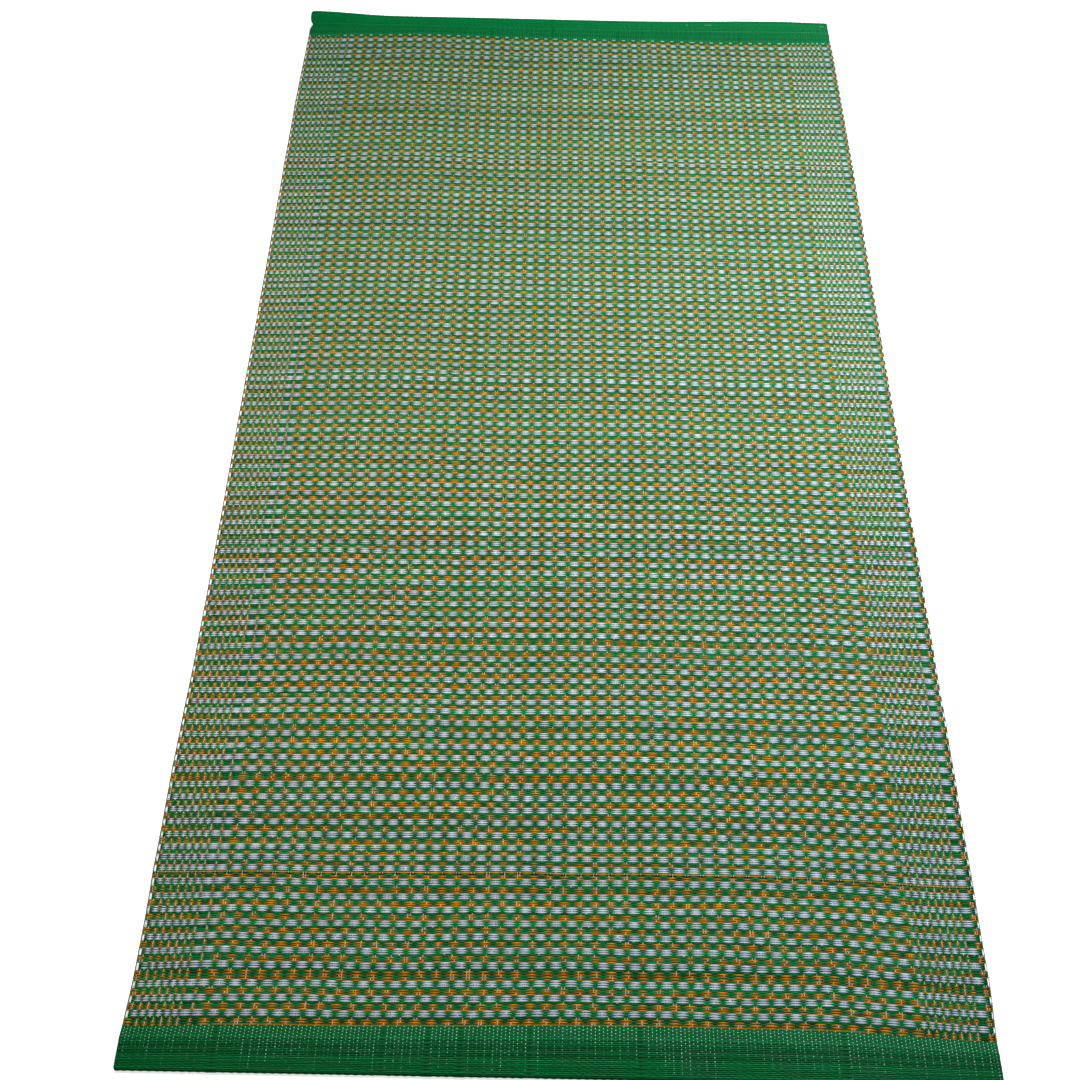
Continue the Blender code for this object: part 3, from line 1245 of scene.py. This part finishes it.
@dataclass
class Selvedges(Layer):
    """The two woven edges: the straws' turned ends, and the white tape that ties each white row in."""

    tie_from_edge: Pair = (0.0031, 0.0022)
    tie_half_width: Pair = (0.00110, 0.00080)
    tie_high: float = 0.00150
    # How much of its height a tie loses towards its sides and towards its ends
    tie_fall: Pair = (0.35, 0.25)
    tie_spread: float = 0.06
    tie_tone: Pair = (0.0, 0.5)
    edge_thread_half_width: float = 0.00038
    edge_thread_height: float = 0.00124
    edge_thread_steps: int = 150
    edge_thread_tone: Pair = (0.4, 0.6)
    turn_from_edge: Pair = (0.0016, 0.0012)
    turn_half: Triple = (0.0014, 0.00095, 0.00085)
    turn_spread: float = 0.08
    turn_tone: Pair = (0.3, 0.9)
    low: float = 0.00030
    seed: int = 41

    def build(self) -> None:
        """Builds the ties, the turned ends of the straws, and the thread along each edge."""
        loom = self.weave.loom
        self.ties()
        self.turns("orange_straw_turns", loom.places(Straw.ORANGE), ORANGE_STRAW)
        self.turns("green_straw_turns", loom.places(Straw.GREEN_BY_WHITES), GREEN_STRAW)
        self.edge_threads()

    def sides(self, from_edge: Pair) -> np.ndarray:
        """Places across the loom at these distances from the left and the right edge."""
        return np.array([from_edge[0], self.weave.loom.span - from_edge[1]])

    def ties(self) -> None:
        """Builds the white tie beside each white row, at both edges."""
        spans = self.weave.loom.blocks(Face.WHITE)
        far, near = np.repeat(spans, 2, axis=0).T
        strip = Stamp.strip(2, 2)
        falls = 1.0 - np.array(self.tie_fall) * np.abs(strip.points[:, :2])
        strip.points[:, 2] = falls[:, 0] * falls[:, 1]
        widths = np.tile(self.tie_half_width, len(spans))
        halves = triples(widths, (far - near) / 2, self.tie_high - self.low)
        halves *= self.uneven(self.tie_spread, len(far), 3)
        middles = triples(np.tile(self.sides(self.tie_from_edge), len(spans)), (far + near) / 2, self.low)
        copies = strip.at(middles, halves, self.draw.uniform(*self.tie_tone, len(far)))
        self.weave.lay("selvedge_ties", copies, WHITE_TIE_PAINTED_LIGHT)

    def turns(self, name: str, lines: list[float], finish: StrawPlastic) -> None:
        """Builds the short ends where straws turn back into the cloth.

        Args:
            name: The piece's name.
            lines: The straws' distances along the cloth.
            finish: What they are made of.
        """
        across = np.tile(self.sides(self.turn_from_edge), len(lines))
        halves = np.array(self.turn_half) * self.uneven(self.turn_spread, len(across), 3)
        tone = self.draw.uniform(*self.turn_tone, len(across))
        copies = Stamp.straw().at(triples(across, np.repeat(lines, 2), self.low), halves, tone)
        self.weave.lay(name, copies, finish)

    def edge_threads(self) -> None:
        """Builds the green thread along each edge, which the white ties pass over."""
        far, near = self.weave.loom.far_end, self.weave.loom.near_end
        middles = triples(self.sides(self.tie_from_edge), (far + near) / 2, self.edge_thread_height)
        halves = triples([self.edge_thread_half_width] * 2, (far - near) / 2, 0.0)
        copies = Stamp.strip(1, self.edge_thread_steps).at(middles, halves, np.array(self.edge_thread_tone))
        self.weave.lay("selvedge_threads", copies, GREEN_STRAW)


@dataclass
class Underside:
    """The back of the patterned field, where each block shows the straw that its face hides."""

    weave: Weave
    depth: float = -0.00100
    lap: float = 0.0002
    tone: float = 0.5

    def build(self) -> None:
        """Builds the blocks of each colour."""
        white, orange = Face.WHITE, Face.ORANGE
        self.weave.lay("white_backs", self.blocks(white, orange), WHITE_STRAW)
        self.weave.lay("orange_backs", self.blocks(orange, white), ORANGE_STRAW)
        greens = self.blocks(white, white).with_more(self.blocks(orange, orange))
        self.weave.lay("green_backs", greens, GREEN_STRAW)

    def blocks(self, rows: Face, face: Face) -> Copies:
        """Places a back for each block of one colour of rows and one kind of column.

        Args:
            rows: The colour of the rows.
            face: The kind of column.

        Returns:
            A copy for each block, turned over so that it faces down.
        """
        loom = self.weave.loom
        left, right = np.array([column[1:3] for column in loom.columns if column.face is face]).T
        far, near = np.array(loom.blocks(rows)).T[:, :, None]
        middles = triples((left + right) / 2, (far + near) / 2, self.depth)
        halves = triples(-((right - left) / 2 + self.lap), (far - near) / 2, 1.0)
        return Stamp.strip(1, 1).at(middles, halves, np.full(len(middles), self.tone))


@dataclass
class Ground:
    """The body of the cloth under the straws on its face, with both hems turned under."""

    weave: Weave
    top: float = 0.00010
    bottom: float = -0.00095
    side: float = 0.0006
    tone: float = 0.5
    columns: int = 26
    rows: int = 240
    hem_rows: int = 54

    def build(self) -> bpy.types.Object:
        """Builds the cloth as a sheet that stands for the solid.

        Returns:
            The sheet.
        """
        lie, loom = self.weave.lie, self.weave.loom
        hem = lie.top_at(-lie.length / 2 + lie.hem_depth + lie.hem_ramp)
        near = np.linspace(0.0, hem, self.hem_rows, endpoint=False)
        field_rows = np.linspace(hem, lie.whole - hem, self.rows, endpoint=False)
        stops = np.concatenate([near, field_rows, np.linspace(lie.whole - hem, lie.whole, self.hem_rows + 1)])
        stamp = Stamp.strip(self.columns, len(stops) - 1)
        step = np.rint((stamp.points[:, 1] + 1.0) / 2 * (len(stops) - 1)).astype(int)
        across = (stamp.points[:, 0] + 1.0) / 2 * (loom.span - 2 * self.side) + self.side
        copies = Copies(stamp, triples(across, stops[step], self.top)[None], np.array([self.tone]))
        # The sheet's near black is painted shade, seen in the gaps between the straws on the face
        sheet = self.weave.lay("cloth", copies, PAINTED_SHADE_BELOW_STRAWS)
        wall = sheet.modifiers.new("thickness", "SOLIDIFY")
        wall.thickness = self.top - self.bottom
        wall.offset = -1.0
        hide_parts("mat")
        return sheet


class Lamp(NamedTuple):
    """A soft square light: where it stands, the point that it faces, its side, its watts and its tint."""

    name: str
    place: Triple
    aim: Triple
    size: float
    power: float
    colour: str


@dataclass
class Studio:
    """The pale floor, the soft light and the camera."""

    floor_size: float = 14.0
    floor_drop: float = 0.0002
    room_light: float = 0.05
    # A soft box above each side of the mat, and a low far window
    lamps: tuple[Lamp, ...] = (
        Lamp("soft_box_right", (0.76, 0.09, 1.17), (0.76, 0.09, 0.0), 0.9, power=25.8, colour="E9F4FF"),
        Lamp("soft_box_left", (-0.49, -0.26, 1.17), (-0.49, -0.26, 0.0), 0.9, power=11.2, colour="FFECE0"),
        Lamp("window", (2.5, 9.0, 3.4), (0.0, 0.0, 0.0), 3.0, power=560.0, colour="E5F2FF"),
    )
    lens_mm: float = 48.88
    sensor_mm: float = 36.0
    camera_place: Triple = (-0.0237, -1.3632, 1.5301)
    pitch: float = 53.44
    roll: float = 0.683
    yaw: float = 0.435

    def build(self) -> None:
        """Builds the floor, the lights and the camera."""
        self.floor()
        self.room()
        for lamp in self.lamps:
            self.light(lamp)
        self.camera()

    def floor(self) -> None:
        """Lays a plain floor under the mat."""
        shape = bmesh.new()
        bmesh.ops.create_grid(shape, x_segments=1, y_segments=1, size=self.floor_size / 2)
        bmesh.ops.translate(shape, verts=shape.verts[:], vec=(0.0, 0.0, -self.floor_drop))
        mesh = bpy.data.meshes.new("floor")
        shape.to_mesh(mesh)
        shape.free()
        mesh.materials.append(FloorPaint().material())
        floor = bpy.data.objects.new("floor", mesh)
        bpy.context.scene.collection.objects.link(floor)

    def room(self) -> None:
        """Adds a little light from all round."""
        world = bpy.data.worlds.new("room")
        bpy.context.scene.world = world
        world.use_nodes = True
        sky = world.node_tree.nodes["Background"]
        sky.inputs["Color"].default_value = linear("FFFFFF")
        sky.inputs["Strength"].default_value = self.room_light

    def light(self, lamp: Lamp) -> None:
        """Adds a soft square light.

        Args:
            lamp: What it is and where it stands.
        """
        light = bpy.data.lights.new(lamp.name, "AREA")
        light.size = lamp.size
        light.energy = lamp.power
        light.color = linear(lamp.colour)[:3]
        stand = bpy.data.objects.new(lamp.name, light)
        towards = np.array(lamp.aim) - np.array(lamp.place)
        yaw = math.atan2(towards[1], towards[0]) - math.pi / 2
        tilt = math.atan2(-towards[2], math.hypot(towards[0], towards[1]))
        turn = Matrix.Rotation(yaw, 4, "Z") @ Matrix.Rotation(math.pi / 2 - tilt, 4, "X")
        stand.matrix_world = Matrix.Translation(lamp.place) @ turn
        bpy.context.scene.collection.objects.link(stand)

    def camera(self) -> None:
        """Sets the camera where the photograph was taken from, and picks a plain view of colours."""
        data = bpy.data.cameras.new("camera")
        data.lens = self.lens_mm
        data.sensor_width = self.sensor_mm
        camera = bpy.data.objects.new("camera", data)
        turn = Matrix.Rotation(math.radians(self.yaw), 4, "Z")
        turn = turn @ Matrix.Rotation(math.radians(90.0 - self.pitch), 4, "X")
        turn = turn @ Matrix.Rotation(math.radians(self.roll), 4, "Z")
        camera.matrix_world = Matrix.Translation(self.camera_place) @ turn
        bpy.context.scene.collection.objects.link(camera)
        bpy.context.scene.camera = camera
        bpy.context.scene.view_settings.view_transform = "Standard"


def main() -> None:
    """Loads the frame, builds the mat layer by layer, and sets the stage."""
    logging.basicConfig(level=logging.INFO, format="%(name)s: %(message)s")
    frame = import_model()
    lie = MatLie()
    weave = Weave(lie, Loom(lie), next(iter(frame["bodies"])))
    sheet = Ground(weave).build()
    for layer in (Straws, Warps, Hems, Selvedges, Underside):
        layer(weave).build()
    Studio().build()


if __name__ == "__main__":
    main()
